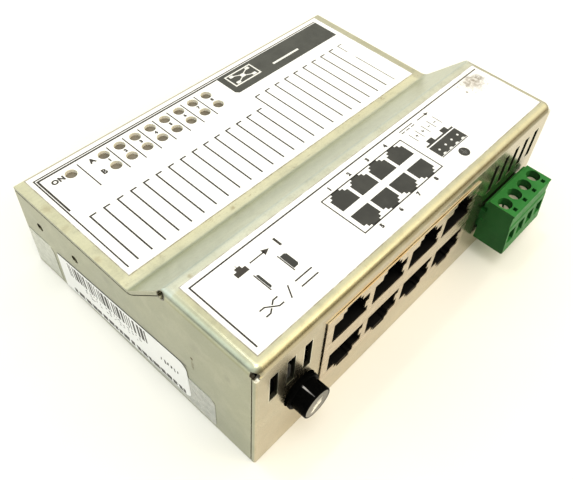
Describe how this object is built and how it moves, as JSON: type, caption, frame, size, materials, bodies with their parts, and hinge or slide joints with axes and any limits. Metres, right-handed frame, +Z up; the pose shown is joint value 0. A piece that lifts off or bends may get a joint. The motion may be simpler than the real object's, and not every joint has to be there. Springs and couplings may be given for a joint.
{
  "type": "industrial ethernet hub",
  "caption": "Flat sheet metal network hub with a stepped top, two stacked rows of modular sockets, a push button and a green screw terminal supply plug.",
  "frame": {"origin": "centre of the case's base, on the underside", "axes": "+X along the case's long side towards the supply plug, +Y from the socket wall to the rear wall, +Z up"},
  "size_m": [0.1136, 0.0941, 0.0417],
  "materials": {
    "zinc_sheet": "passivated zinc, faintly yellow, lightly scuffed",
    "screw_steel": "bright zinc",
    "spacer_brass": "plain turned",
    "board_green": "solder resist",
    "socket_plastic": "moulded",
    "shield_steel": "tinned, satin",
    "contact_gold": "flash gold",
    "pin_tin": "tinned",
    "plug_green": "moulded, satin",
    "button_black": "gloss",
    "button_silver": "satin foil",
    "switch_plastic": "moulded",
    "plunger_plastic": "moulded",
    "spring_steel": "drawn wire",
    "guide_clear": "cloudy clear",
    "light_chip": "gloss",
    "chip_black": "moulded",
    "capacitor_can": "satin",
    "choke_ferrite": "sintered",
    "crystal_can": "bright",
    "label_white": "satin film",
    "label_foil": "satin foil",
    "label_clear": "cloudy film"
  },
  "bodies": {
    "root": {"case_cover": "zinc_sheet", "base_plate": "zinc_sheet", "case_screws": "screw_steel", "main_board": "board_green", "board_spacers": "spacer_brass", "board_screws": "screw_steel", "jack_shield": "shield_steel", "jack_housing": "socket_plastic", "jack_contacts": "contact_gold", "supply_header": "plug_green", "supply_pins": "pin_tin", "plug_housing": "plug_green", "plug_contacts": "pin_tin", "switch_body": "switch_plastic", "return_spring": "spring_steel", "switch_pins": "pin_tin", "light_guide": "guide_clear", "status_leds": "light_chip", "hub_chip": "chip_black", "port_drivers": "chip_black", "transformers": "chip_black", "regulator": "chip_black", "capacitors": "capacitor_can", "power_choke": "choke_ferrite", "crystal": "crystal_can", "status_label": "label_white", "port_label": "label_white", "side_foil": "label_foil", "rating_label": "label_clear", "serial_label": "label_white"},
    "button": {"button_cap": "button_black", "button_insert": "button_silver", "switch_plunger": "plunger_plastic"},
    "clamp_screw_1": {"clamp_screw_1": "screw_steel"},
    "clamp_cage_1": {"clamp_cage_1": "screw_steel"},
    "clamp_screw_2": {"clamp_screw_2": "screw_steel"},
    "clamp_cage_2": {"clamp_cage_2": "screw_steel"},
    "clamp_screw_3": {"clamp_screw_3": "screw_steel"},
    "clamp_cage_3": {"clamp_cage_3": "screw_steel"},
    "clamp_screw_4": {"clamp_screw_4": "screw_steel"},
    "clamp_cage_4": {"clamp_cage_4": "screw_steel"}
  },
  "joints": [
    {"name": "button_press", "type": "slide", "parent": "root", "child": "button", "axis": [0, 1, 0], "range_m": [0, 0.0025], "stiffness_N_per_m": 600, "springref_m": -0.001, "deforming": ["return_spring"]},
    {"name": "clamp_screw_1_turn", "type": "hinge", "parent": "root", "child": "clamp_screw_1", "pos_m": [0.03425, -0.04666, 0.0185], "axis": [0, 0, -1], "range_deg": [0, 1440]},
    {"name": "clamp_cage_1_lift", "type": "slide", "parent": "root", "child": "clamp_cage_1", "axis": [0, 0, 1], "range_m": [0, 0.002]},
    {"name": "clamp_screw_2_turn", "type": "hinge", "parent": "root", "child": "clamp_screw_2", "pos_m": [0.03933, -0.04666, 0.0185], "axis": [0, 0, -1], "range_deg": [0, 1440]},
    {"name": "clamp_cage_2_lift", "type": "slide", "parent": "root", "child": "clamp_cage_2", "axis": [0, 0, 1], "range_m": [0, 0.002]},
    {"name": "clamp_screw_3_turn", "type": "hinge", "parent": "root", "child": "clamp_screw_3", "pos_m": [0.04441, -0.04666, 0.0185], "axis": [0, 0, -1], "range_deg": [0, 1440]},
    {"name": "clamp_cage_3_lift", "type": "slide", "parent": "root", "child": "clamp_cage_3", "axis": [0, 0, 1], "range_m": [0, 0.002]},
    {"name": "clamp_screw_4_turn", "type": "hinge", "parent": "root", "child": "clamp_screw_4", "pos_m": [0.04949, -0.04666, 0.0185], "axis": [0, 0, -1], "range_deg": [0, 1440]},
    {"name": "clamp_cage_4_lift", "type": "slide", "parent": "root", "child": "clamp_cage_4", "axis": [0, 0, 1], "range_m": [0, 0.002]}
  ],
  "couplings": [
    {"joint": "clamp_screw_1_turn", "follows": "clamp_cage_1_lift", "rad_per_m": 12566},
    {"joint": "clamp_screw_2_turn", "follows": "clamp_cage_2_lift", "rad_per_m": 12566},
    {"joint": "clamp_screw_3_turn", "follows": "clamp_cage_3_lift", "rad_per_m": 12566},
    {"joint": "clamp_screw_4_turn", "follows": "clamp_cage_4_lift", "rad_per_m": 12566}
  ]
}
